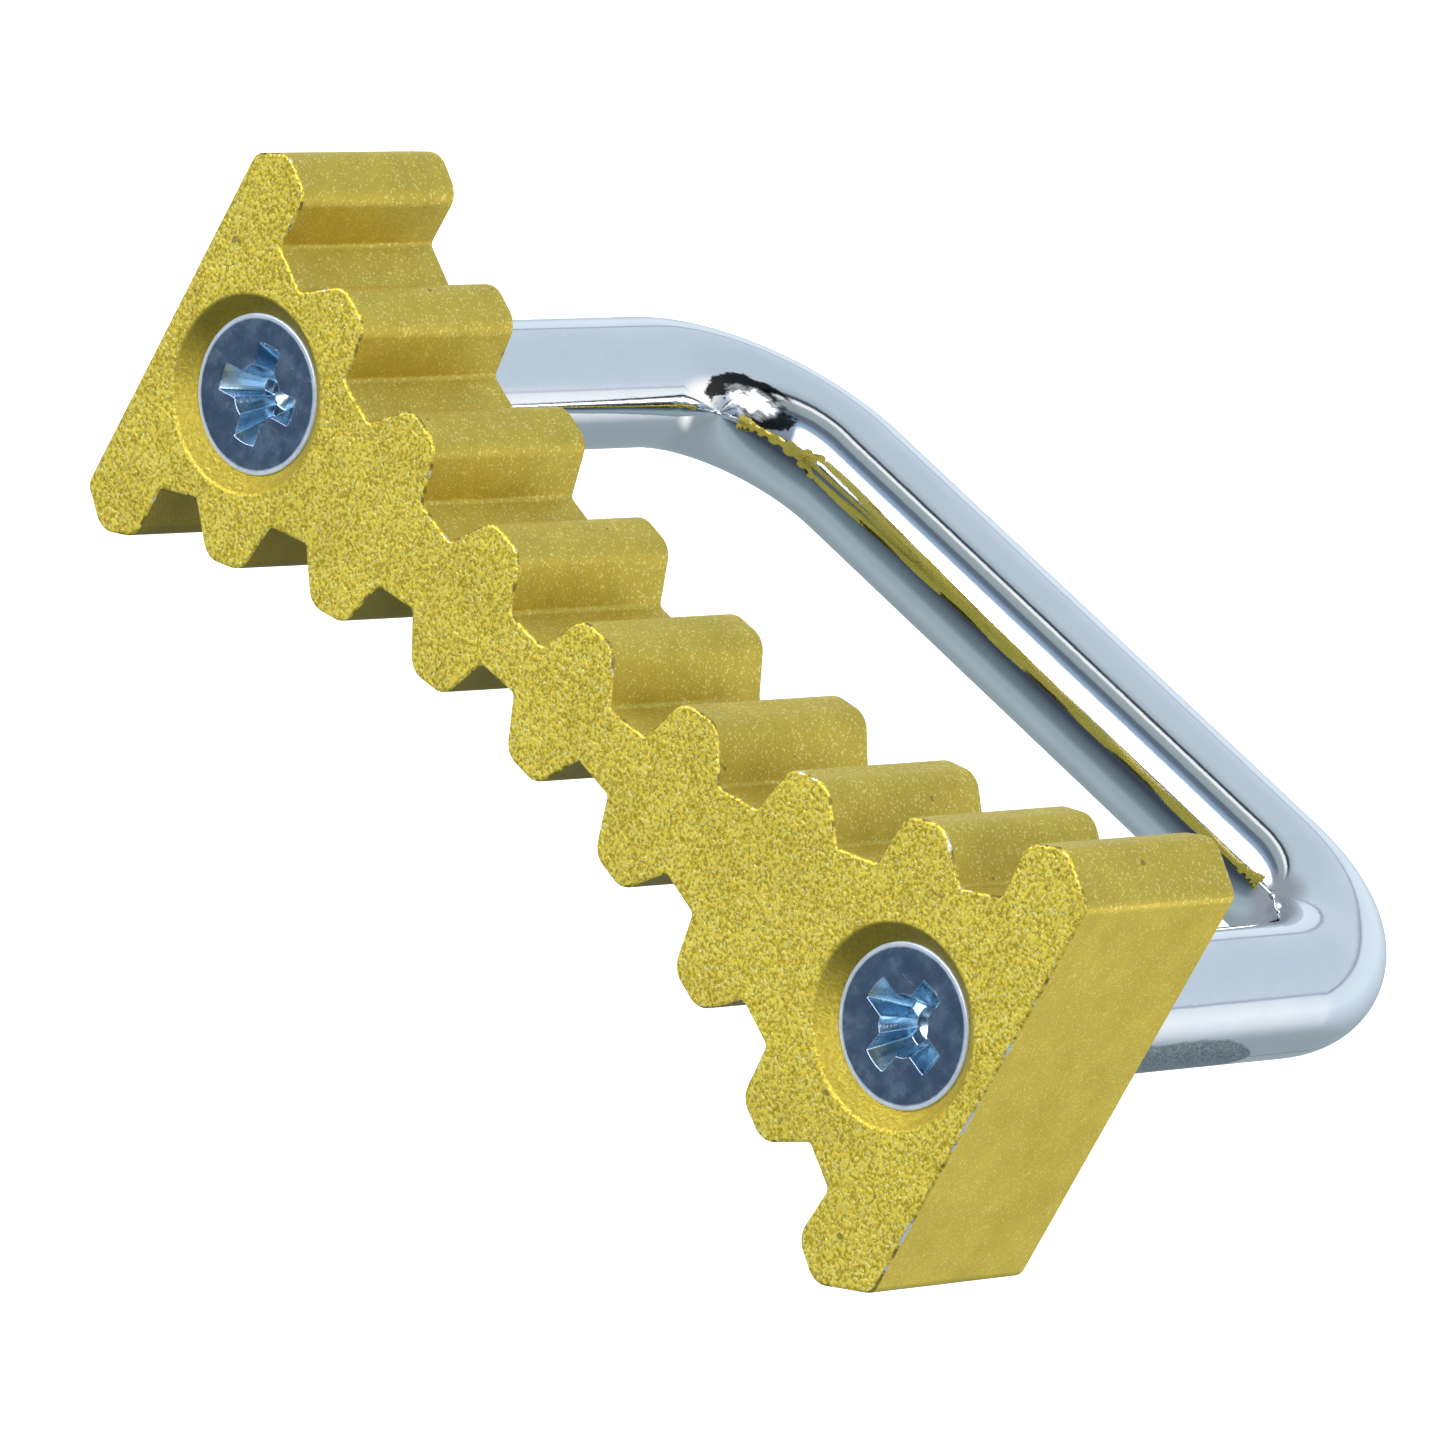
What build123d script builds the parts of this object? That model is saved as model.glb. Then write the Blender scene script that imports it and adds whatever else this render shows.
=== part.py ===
from build123d import *
import math
import os

# Toothed foot peg: an aluminium tread plate with two toothed long edges,
# carried by a round steel bar bent to a U. The bar's two legs stand square on
# the back of the plate, and one countersunk screw through the plate holds each
# leg.
#
# Frame, in millimetres: X runs along the plate's long axis, +X to its wider
# end. Z is up, in the direction that the upper row of teeth points. Y is
# depth: the face with the screw heads looks to -Y and the bar reaches to +Y.
# The origin is the middle of the bar's cross portion, on the bar's own axis.

# ---------------------------------------------------------------- plate
PLATE_LENGTH = 90.0        # end face to end face
PLATE_DEPTH = 15.8         # screw face to back face
EDGE_BREAK = 0.2           # bevel round the outline on both faces
END_CORNER_R = 1.1         # rounding of the four end corners

# Each long edge is a concave arc with teeth standing on it. The arc's centre
# lies a little to -X of the plate's middle, so the +X end is the wider one.
ARC_CENTRE_X = -2.8
ARC_CENTRE_Z = 86.6
ARC_R = 84.4               # radius on the valley floors
TOOTH_COUNT = 9
UPPER_PITCH_DEG = 7.5      # angle from tooth to tooth about the arc's centre
LOWER_PITCH_DEG = 7.4
UPPER_TURN_DEG = 1.9       # turns each row along its arc, to bring its middle
LOWER_TURN_DEG = 1.66      # tooth back near the plate's middle
TOOTH_HEIGHT = 3.8
TOOTH_HALF_BASE = 3.7      # half width on the valley floor
FLANK_ANGLE_DEG = 27.5     # flank to the tooth's own centre line
TOOTH_TIP_R = 1.75
VALLEY_CORNER_R = 0.45

# ---------------------------------------------------------------- screws
SCREW_SPACING = 72.2
HEAD_D = 11.3              # M6 countersunk cross-recess head
HEAD_LAND = 0.25           # short cylindrical edge above the cone
HEAD_SINK = 1.13           # head top below the plate's screw face
SHANK_D = 6.0
SCREW_LENGTH = 25.0        # measured with the head
SCREW_TIP_BEVEL = 0.6
SEAT_GAP = 0.02            # between the head's cone and its seat
HEAD_RIM_BEVEL = 0.15
THROUGH_HOLE_D = 6.6
SINK_MOUTH_R = 0.55        # soft lip of the countersink
RECESS_D = 7.3             # across opposite wings at the head's top
RECESS_DEPTH = 3.0
RECESS_FOOT_D = 3.9        # across opposite wings at the foot of the wings
WING_WIDTH_TOP = 2.0
WING_WIDTH_FOOT = 1.1
CORE_D_TOP = 4.3           # round middle of the recess
CORE_D_FOOT = 2.3
CORE_CONE = 0.7            # pointed floor under the core
LEFT_RECESS_TURN = 14.0    # degrees, from +X towards +Z
RIGHT_RECESS_TURN = -11.0

# ---------------------------------------------------------------- bar
BAR_D = 9.5
BAR_REACH = 53.7           # screw face to the axis of the cross portion
BEND_R = 12.5              # to the bar's axis
LEG_SEAT_DEPTH = 2.0       # each leg's foot stands in a shallow seat
LEG_SEAT_D = 9.6
LEG_END_BEVEL = 0.5
TAP_DRILL_D = 5.0
TAP_DEPTH = 16.0           # from the leg's foot

FACE_Y = -BAR_REACH                   # screw face
BACK_Y = FACE_Y + PLATE_DEPTH         # back face
FOOT_Y = BACK_Y - LEG_SEAT_DEPTH      # foot of each leg, in its seat
HALF = SCREW_SPACING / 2
SINK_MOUTH_D = HEAD_D + 2 * (HEAD_SINK + HEAD_LAND)  # 90 degree cone at the face


def edge_outline(turn, pitch):
    """One edge's outline from tooth to tooth, as sharp corner points above Z 0."""
    run = math.tan(math.radians(FLANK_ANGLE_DEG)) * TOOTH_HEIGHT
    half_tip = TOOTH_HALF_BASE - run
    points = []
    for k in range(TOOTH_COUNT):
        a = math.radians(
            turn + (k - (TOOTH_COUNT - 1) / 2) * pitch
        )
        for along, high in (
            (-TOOTH_HALF_BASE, 0.0),
            (-half_tip, TOOTH_HEIGHT),
            (half_tip, TOOTH_HEIGHT),
            (TOOTH_HALF_BASE, 0.0),
        ):
            x = ARC_CENTRE_X + ARC_R * math.sin(a)
            z = ARC_CENTRE_Z - ARC_R * math.cos(a)
            x += along * math.cos(a) - high * math.sin(a)
            z += along * math.sin(a) + high * math.cos(a)
            points.append((x, z))
    # the outermost flanks run on past the end faces, which then trim them
    for tip, foot in ((1, 0), (-2, -1)):
        (x0, z0), (x1, z1) = points[tip], points[foot]
        points[foot] = (x1 + 0.5 * (x1 - x0), z1 + 0.5 * (z1 - z0))
    return points


def plate_profile():
    """The hourglass profile in local coordinates x, z."""
    top = edge_outline(UPPER_TURN_DEG, UPPER_PITCH_DEG)
    low = [(x, -z) for x, z in edge_outline(LOWER_TURN_DEG, LOWER_PITCH_DEG)]
    teeth = make_face(Polyline(*top, *reversed(low), close=True))
    blank = Rectangle(PLATE_LENGTH, 80)
    face = teeth & blank
    half = PLATE_LENGTH / 2
    tip_points, floor_points = [], []
    for row in (top, low):
        for k in range(TOOTH_COUNT):
            tip_points += [row[4 * k + 1], row[4 * k + 2]]
            floor_points += [row[4 * k], row[4 * k + 3]]
    tips = [
        v for v in face.vertices()
        if min(math.dist((v.X, v.Y), p) for p in tip_points) < 1e-3
    ]
    face = fillet(tips, TOOTH_TIP_R)
    valleys = [
        v for v in face.vertices()
        if min(math.dist((v.X, v.Y), p) for p in floor_points) < 1e-3
    ]
    face = fillet(valleys, VALLEY_CORNER_R)
    corners = [v for v in face.vertices() if abs(abs(v.X) - half) < 1e-3]
    return fillet(corners, END_CORNER_R)


def standing(profile):
    """Puts an x, z profile on the screw face, ready to be extruded to +Y."""
    plane = Plane(origin=(0, FACE_Y, 0), x_dir=(1, 0, 0), z_dir=(0, -1, 0))
    return plane * profile


def along_y(shape, x, y):
    """Turns a shape made along +Z so that it runs along +Y from (x, y, 0)."""
    return Pos(x, y, 0) * Rot(-90, 0, 0) * shape


def disc(d, y_from, y_to, x):
    return along_y(
        Cylinder(d / 2, y_to - y_from, align=(Align.CENTER, Align.CENTER, Align.MIN)),
        x, y_from,
    )


def cone(d_from, d_to, y_from, y_to, x):
    return along_y(
        Cone(d_from / 2, d_to / 2, y_to - y_from,
             align=(Align.CENTER, Align.CENTER, Align.MIN)),
        x, y_from,
    )


def make_plate():
    body = extrude(standing(plate_profile()), amount=-PLATE_DEPTH)
    faces = body.faces().sort_by(Axis.Y)
    body = chamfer(list(faces[0].edges()) + list(faces[-1].edges()), EDGE_BREAK)
    for x in (-HALF, HALF):
        # 90 degree countersink, through hole and the leg's seat on the back
        depth = (SINK_MOUTH_D - THROUGH_HOLE_D) / 2
        body -= cone(SINK_MOUTH_D, THROUGH_HOLE_D, FACE_Y, FACE_Y + depth, x)
        body -= disc(THROUGH_HOLE_D, FACE_Y - 1, BACK_Y + 1, x)
        body -= disc(LEG_SEAT_D, FOOT_Y, BACK_Y + 1, x)
    mouths = [
        e for e in body.edges().filter_by(GeomType.CIRCLE)
        if abs(e.center().Y - FACE_Y) < 1e-3 and abs(e.radius - SINK_MOUTH_D / 2) < 1e-3
    ]
    return fillet(mouths, SINK_MOUTH_R)


def make_bar():
    end = HALF - BEND_R
    path = Line((-HALF, FOOT_Y, 0), (-HALF, -BEND_R, 0))
    path += RadiusArc((-HALF, -BEND_R, 0), (-end, 0, 0), BEND_R)
    path += Line((-end, 0, 0), (end, 0, 0))
    path += RadiusArc((end, 0, 0), (HALF, -BEND_R, 0), BEND_R)
    path += Line((HALF, -BEND_R, 0), (HALF, FOOT_Y, 0))
    section = Plane(origin=(-HALF, FOOT_Y, 0), z_dir=(0, 1, 0)) * Circle(BAR_D / 2)
    bar = sweep(section, path=path)
    ends = [
        e for e in bar.edges().filter_by(GeomType.CIRCLE)
        if abs(e.center().Y - FOOT_Y) < 1e-3
    ]
    bar = chamfer(ends, LEG_END_BEVEL)
    for x in (-HALF, HALF):
        bar -= disc(TAP_DRILL_D, FOOT_Y - 1, FOOT_Y + TAP_DEPTH, x)
        bar -= cone(TAP_DRILL_D, 0.01, FOOT_Y + TAP_DEPTH,
                    FOOT_Y + TAP_DEPTH + 1.4, x)
    return bar


def make_recess(x, top_y, turn):
    """Cross recess: two tapered slots with round ends and a round core."""
    taper = (RECESS_D - RECESS_FOOT_D) / RECESS_DEPTH
    rise = 0.5
    limit = Cone((RECESS_D + rise * taper) / 2, RECESS_FOOT_D / 2,
                 RECESS_DEPTH + rise,
                 align=(Align.CENTER, Align.CENTER, Align.MIN))
    wing_taper = (WING_WIDTH_TOP - WING_WIDTH_FOOT) / RECESS_DEPTH
    wings = None
    for a in (0, 90):
        wide = WING_WIDTH_TOP + rise * wing_taper
        slot = loft([
            Plane.XY * Rectangle(RECESS_D + 4, wide),
            Plane.XY.offset(RECESS_DEPTH + rise) * Rectangle(RECESS_D + 4, WING_WIDTH_FOOT),
        ])
        slot = Rot(0, 0, a) * slot
        wings = slot if wings is None else wings + slot
    wings = wings & limit
    core_taper = (CORE_D_TOP - CORE_D_FOOT) / RECESS_DEPTH
    core = Cone((CORE_D_TOP + rise * core_taper) / 2, CORE_D_FOOT / 2,
                RECESS_DEPTH + rise,
                align=(Align.CENTER, Align.CENTER, Align.MIN))
    floor = Pos(0, 0, RECESS_DEPTH + rise) * Cone(
        CORE_D_FOOT / 2, 0.05, CORE_CONE,
        align=(Align.CENTER, Align.CENTER, Align.MIN))
    # an angle from +X towards +Z is a negative turn about the tool's own axis
    tool = Rot(0, 0, -turn) * (wings + core + floor)
    return along_y(tool, x, top_y - rise)


def make_screw(x, turn):
    top = FACE_Y + HEAD_SINK
    cone_from = top + HEAD_LAND
    cone_deep = (HEAD_D - SHANK_D) / 2
    head = disc(HEAD_D, top, cone_from, x)
    rim = head.edges().filter_by(GeomType.CIRCLE).sort_by(Axis.Y)[0]
    head = chamfer([rim], HEAD_RIM_BEVEL * 0.8, HEAD_RIM_BEVEL)
    gap = SEAT_GAP * math.sqrt(2)
    head += cone(HEAD_D - 2 * gap, SHANK_D, cone_from, cone_from + cone_deep - gap, x)
    shank = disc(SHANK_D, cone_from + cone_deep - gap - 0.1, top + SCREW_LENGTH, x)
    tip = shank.edges().filter_by(GeomType.CIRCLE).sort_by(Axis.Y)[-1]
    shank = chamfer([tip], SCREW_TIP_BEVEL)
    screw = head + shank
    return screw - make_recess(x, top, turn)


def save(shape, name):
    shape.label = name
    export_step(shape, f"parts/{name}.step")


os.makedirs("parts", exist_ok=True)
plate = make_plate()
bar = make_bar()
left = make_screw(-HALF, LEFT_RECESS_TURN)
right = make_screw(HALF, RIGHT_RECESS_TURN)
save(plate, "toothed_plate")
save(bar, "u_bar")
save(left, "screw_left")
save(right, "screw_right")
for name, shape in (("toothed_plate", plate), ("u_bar", bar),
                    ("screw_left", left), ("screw_right", right)):
    box = shape.bounding_box()
    print(name, len(shape.solids()), "solid(s)", round(shape.volume, 1), "mm3",
          [round(v, 2) for v in (*box.min, *box.max)])
print("countersink mouth", round(SINK_MOUTH_D, 2),
      "thread in the leg", round(FACE_Y + HEAD_SINK + SCREW_LENGTH - FOOT_Y, 2))
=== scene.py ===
import math

import bmesh
import bpy
from mathutils import Matrix, Vector
from mathutils.geometry import delaunay_2d_cdt


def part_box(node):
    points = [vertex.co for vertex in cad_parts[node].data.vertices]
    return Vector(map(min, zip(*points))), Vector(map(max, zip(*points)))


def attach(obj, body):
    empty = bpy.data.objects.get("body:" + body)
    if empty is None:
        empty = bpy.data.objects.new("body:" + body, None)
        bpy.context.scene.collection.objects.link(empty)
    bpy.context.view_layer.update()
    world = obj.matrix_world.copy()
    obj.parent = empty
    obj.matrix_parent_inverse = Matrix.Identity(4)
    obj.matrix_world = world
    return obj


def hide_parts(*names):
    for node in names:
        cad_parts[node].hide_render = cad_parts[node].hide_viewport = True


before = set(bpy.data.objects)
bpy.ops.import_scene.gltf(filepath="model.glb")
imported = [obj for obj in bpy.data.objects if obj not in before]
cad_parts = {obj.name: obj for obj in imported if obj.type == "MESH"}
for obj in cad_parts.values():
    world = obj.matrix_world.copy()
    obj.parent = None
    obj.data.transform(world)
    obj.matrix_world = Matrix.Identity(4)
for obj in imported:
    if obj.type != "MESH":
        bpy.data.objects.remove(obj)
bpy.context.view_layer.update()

scene = bpy.context.scene
MM = 0.001

# ------------------------------------------------------------------ sizes, mm
PLATE_LENGTH, PLATE_DEPTH = 90.0, 15.8
EDGE_R = 0.24
END_CORNER_R = 1.1
ARC_CENTRE_X, ARC_CENTRE_Z, ARC_R = -2.8, 86.6, 84.4
TOOTH_COUNT = 9
UPPER_TURN_DEG, UPPER_PITCH_DEG = 1.9, 7.5
LOWER_TURN_DEG, LOWER_PITCH_DEG = 1.66, 7.4
TOOTH_HEIGHT, TOOTH_HALF_BASE, FLANK_ANGLE_DEG = 3.8, 3.7, 27.5
TOOTH_TIP_R, VALLEY_CORNER_R = 1.75, 0.45
HALF = 36.1
HEAD_D, HEAD_LAND, HEAD_SINK = 11.3, 0.25, 1.13
THROUGH_HOLE_D, SINK_MOUTH_R = 6.6, 0.55
LEG_SEAT_D, LEG_SEAT_DEPTH = 9.6, 2.0
BAR_D, BAR_REACH, BEND_R = 9.5, 53.7, 12.5
TAP_DRILL_D, TAP_DEPTH, LEG_END_BEVEL = 5.0, 16.0, 0.5
FACE_Y = -BAR_REACH
BACK_Y = FACE_Y + PLATE_DEPTH
FOOT_Y = BACK_Y - LEG_SEAT_DEPTH
SINK_MOUTH_D = HEAD_D + 2 * (HEAD_SINK + HEAD_LAND)


# ------------------------------------------------------------------ outline
def tooth_chain(turn, pitch):
    """One long edge, left to right, as (x, z, fillet radius), with z upward."""
    run = math.tan(math.radians(FLANK_ANGLE_DEG)) * TOOTH_HEIGHT
    half_tip = TOOTH_HALF_BASE - run
    pts = []
    for k in range(TOOTH_COUNT):
        a = math.radians(turn + (k - (TOOTH_COUNT - 1) / 2) * pitch)
        for along, high, r in ((-TOOTH_HALF_BASE, 0.0, VALLEY_CORNER_R),
                               (-half_tip, TOOTH_HEIGHT, TOOTH_TIP_R),
                               (half_tip, TOOTH_HEIGHT, TOOTH_TIP_R),
                               (TOOTH_HALF_BASE, 0.0, VALLEY_CORNER_R)):
            x = ARC_CENTRE_X + ARC_R * math.sin(a) + along * math.cos(a) - high * math.sin(a)
            z = ARC_CENTRE_Z - ARC_R * math.cos(a) + along * math.sin(a) + high * math.cos(a)
            pts.append((x, z, r))
    half = PLATE_LENGTH / 2

    def cut(inner, outer, x):
        """Where the line from inner to outer reaches x."""
        t = (x - inner[0]) / (outer[0] - inner[0])
        return (x, inner[1] + t * (outer[1] - inner[1]), END_CORNER_R)

    pts[0] = cut(pts[1], pts[0], -half)
    pts[-1] = cut(pts[-2], pts[-1], half)
    return pts


def rounded(corners, step=0.13):
    """Closed outline with every corner rounded: list of (x, z, nx, nz), normals outward.
    Corners run clockwise seen from the screw face's side (x right, z up)."""
    n = len(corners)
    out = []
    for i in range(n):
        p0 = Vector(corners[i - 1][:2])
        p1 = Vector(corners[i][:2])
        p2 = Vector(corners[(i + 1) % n][:2])
        r = corners[i][2]
        d0 = (p1 - p0).normalized()
        d1 = (p2 - p1).normalized()
        cross = d0.x * d1.y - d0.y * d1.x
        turn = math.atan2(cross, d0.dot(d1))
        if abs(turn) < 1e-4:
            continue
        t = r * math.tan(abs(turn) / 2)
        start = p1 - d0 * t
        side = 1 if turn > 0 else -1
        left = Vector((-d0.y, d0.x)) * side
        centre = start + left * r
        count = max(4, int(math.ceil(abs(turn) * r / step)))
        for j in range(count + 1):
            b = turn * j / count
            v = start - centre
            c, s = math.cos(b), math.sin(b)
            q = centre + Vector((v.x * c - v.y * s, v.x * s + v.y * c))
            radial = (q - centre).normalized()
            # clockwise outline: outward is to the left of travel
            nrm = radial if side < 0 else -radial
            out.append((q.x, q.y, nrm.x, nrm.y))
    return out


def plate_outline():
    top = tooth_chain(UPPER_TURN_DEG, UPPER_PITCH_DEG)
    bottom = [(x, -z, r) for x, z, r in reversed(tooth_chain(LOWER_TURN_DEG, LOWER_PITCH_DEG))]
    ring = rounded(top + bottom)
    # long straight runs are divided, so the triangles stay even
    full = []
    n = len(ring)
    for i in range(n):
        a, b = ring[i], ring[(i + 1) % n]
        full.append(a)
        gap = math.dist(a[:2], b[:2])
        if gap > 0.6:
            count = int(gap / 0.5)
            for j in range(1, count):
                t = j / count
                full.append((a[0] + (b[0] - a[0]) * t, a[1] + (b[1] - a[1]) * t, a[2], a[3]))
    return full


def norms_of(normals, i):
    return normals[i] if normals is not None else (0, 0, 0)


def new_mesh(name, verts, faces, normals=None, smooth=True):
    turned = []
    for f in faces:
        # every face looks the way its corners' normals do
        a, b, c = (Vector(verts[i]) for i in (f[0], f[1], f[2]))
        flat = (b - a).cross(c - b)
        if len(f) == 4:
            d = Vector(verts[f[3]])
            flat = (c - a).cross(d - b)
        want = Vector((0, 0, 0))
        for i in f:
            want += Vector(norms_of(normals, i))
        turned.append(f if flat.dot(want) >= 0 else tuple(reversed(f)))
    faces = turned
    mesh = bpy.data.meshes.new(name)
    mesh.from_pydata([tuple(c * MM for c in v) for v in verts], [], faces)
    mesh.validate()
    if smooth:
        mesh.shade_smooth()
    if normals is not None and len(mesh.vertices) == len(normals):
        mesh.normals_split_custom_set_from_vertices([Vector(v).normalized() for v in normals])
    mesh.update()
    obj = bpy.data.objects.new(name, mesh)
    scene.collection.objects.link(obj)
    return obj


# ------------------------------------------------------------------ plate
def make_plate():
    outline = plate_outline()
    n = len(outline)
    verts, norms, faces = [], [], []

    def ring(y, inset, tilt, face_dir):
        """One loop of the outline; tilt 0 looks sideways, 90 degrees looks along face_dir*Y."""
        base = len(verts)
        c, s = math.cos(tilt), math.sin(tilt)
        for x, z, nx, nz in outline:
            verts.append((x - nx * inset, y, z - nz * inset))
            norms.append((nx * c, face_dir * s, nz * c))
        return base

    loops = []
    steps = 4
    for j in range(steps + 1):
        b = math.pi / 2 * (1 - j / steps)
        loops.append(ring(FACE_Y + EDGE_R * (1 - math.sin(b)), EDGE_R * (1 - math.cos(b)), b, -1))
    for j in range(1, 12):
        y = FACE_Y + EDGE_R + (PLATE_DEPTH - 2 * EDGE_R) * j / 12
        loops.append(ring(y, 0.0, 0.0, 1))
    for j in range(steps + 1):
        b = math.pi / 2 * j / steps
        loops.append(ring(BACK_Y - EDGE_R * (1 - math.sin(b)), EDGE_R * (1 - math.cos(b)), b, 1))
    for a, b in zip(loops, loops[1:]):
        for i in range(n):
            k = (i + 1) % n
            faces.append((a + i, b + i, b + k, a + k))

    segs = 128

    def circle(x, r, y, nr, ny):
        """A loop round a screw axis; nr is the normal's part away from the axis."""
        base = len(verts)
        for i in range(segs):
            a = 2 * math.pi * i / segs
            verts.append((x + r * math.cos(a), y, r * math.sin(a)))
            norms.append((nr * math.cos(a), ny, nr * math.sin(a)))
        return base

    def wall(a, b):
        for i in range(segs):
            k = (i + 1) % segs
            faces.append((a + i, a + k, b + k, b + i))

    front_holes, back_holes = [], []
    for x in (-HALF, HALF):
        # soft lip, cone, through hole, seat floor and seat wall
        rm = SINK_MOUTH_D / 2
        lip = SINK_MOUTH_R * math.tan(math.pi / 8)
        rows = []
        for j in range(7):
            b = math.pi / 4 * j / 6
            r = rm + lip - SINK_MOUTH_R * math.sin(b)
            y = FACE_Y + SINK_MOUTH_R * (1 - math.cos(b))
            rows.append(circle(x, r, y, -math.sin(b), -math.cos(b)))
        front_holes.append(rows[0])
        s = math.sqrt(0.5)
        deep = (SINK_MOUTH_D - THROUGH_HOLE_D) / 2
        for j in range(1, 9):
            r0 = rm - SINK_MOUTH_R * (math.sin(math.pi / 4) - math.tan(math.pi / 8))
            y0 = FACE_Y + SINK_MOUTH_R * (1 - math.cos(math.pi / 4))
            t = j / 8
            rows.append(circle(x, r0 + (THROUGH_HOLE_D / 2 - r0) * t,
                               y0 + (FACE_Y + deep - y0) * t, -s, -s))
        rows.append(circle(x, THROUGH_HOLE_D / 2, FACE_Y + deep, -1, 0))
        rows.append(circle(x, THROUGH_HOLE_D / 2, FOOT_Y, -1, 0))
        rows.append(circle(x, THROUGH_HOLE_D / 2, FOOT_Y, 0, 1))
        rows.append(circle(x, LEG_SEAT_D / 2, FOOT_Y, 0, 1))
        rows.append(circle(x, LEG_SEAT_D / 2, FOOT_Y, -1, 0))
        rows.append(circle(x, LEG_SEAT_D / 2, BACK_Y - 0.12, -1, 0))
        rows.append(circle(x, LEG_SEAT_D / 2 + 0.12, BACK_Y, 0, 1))
        for a, b in zip(rows, rows[1:]):
            wall(a, b)
        back_holes.append(rows[-1])

    def fill(loop_base, hole_bases, flip):
        """Fills a flat face between the outline loop and the two round holes."""
        ids = list(range(loop_base, loop_base + n))
        rings = [ids] + [list(range(b, b + segs)) for b in hole_bases]
        flat = [i for r in rings for i in r]
        coords = [Vector((verts[i][0], verts[i][2])) for i in flat]
        edges, k = [], 0
        for r in rings:
            for i in range(len(r)):
                edges.append((k + i, k + (i + 1) % len(r)))
            k += len(r)
        # even points inside keep the triangles from becoming long slivers
        poly = [coords[i] for i in range(n)]
        extra = []
        step = 1.6
        for ix in range(-28, 29):
            for iz in range(-12, 13):
                p = Vector((ix * step + (0.8 if iz % 2 else 0.0), iz * step))
                if any((p - Vector((h, 0))).length < 8.4 for h in (-HALF, HALF)):
                    continue
                inside = False
                for i in range(n):
                    a, b = poly[i], poly[(i + 1) % n]
                    if (a.y > p.y) != (b.y > p.y) and p.x < (b.x - a.x) * (p.y - a.y) / (b.y - a.y) + a.x:
                        inside = not inside
                if inside and min((p - q).length for q in poly) > 1.0:
                    extra.append(p)
        y = verts[loop_base][1]
        out = delaunay_2d_cdt(coords + extra, edges, [], 0, 1e-6)
        vco, _, fcs, orig = out[0], out[1], out[2], out[3]
        back = {}
        for i, src in enumerate(orig):
            first = src[0] if src else None
            if first is not None and first < len(flat):
                back[i] = flat[first]
            else:
                back[i] = len(verts)
                verts.append((vco[i].x, y, vco[i].y))
                norms.append((0, -1 if not flip else 1, 0))
        for f in fcs:
            cx = sum(vco[i].x for i in f) / 3
            cz = sum(vco[i].y for i in f) / 3
            if any(math.hypot(cx - h, cz) < hr for h, hr in
                   ((-HALF, hole_r), (HALF, hole_r))):
                continue
            inside = False
            for i in range(n):
                a, b = poly[i], poly[(i + 1) % n]
                if (a.y > cz) != (b.y > cz) and cx < (b.x - a.x) * (cz - a.y) / (b.y - a.y) + a.x:
                    inside = not inside
            if not inside:
                continue
            tri = [back[i] for i in f]
            # counter-clockwise in (x, z) looks to -Y
            ax, az = vco[f[1]] - vco[f[0]]
            bx, bz = vco[f[2]] - vco[f[0]]
            ccw = ax * bz - az * bx > 0
            if ccw == flip:
                tri.reverse()
            faces.append(tuple(tri))

    hole_r = SINK_MOUTH_D / 2 + SINK_MOUTH_R * math.tan(math.pi / 8) - 0.01
    fill(loops[0], front_holes, False)
    hole_r = LEG_SEAT_D / 2 + 0.12 - 0.01
    fill(loops[-1], back_holes, True)
    obj = new_mesh("tread_plate_blasted", verts, faces, norms)
    return obj


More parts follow.
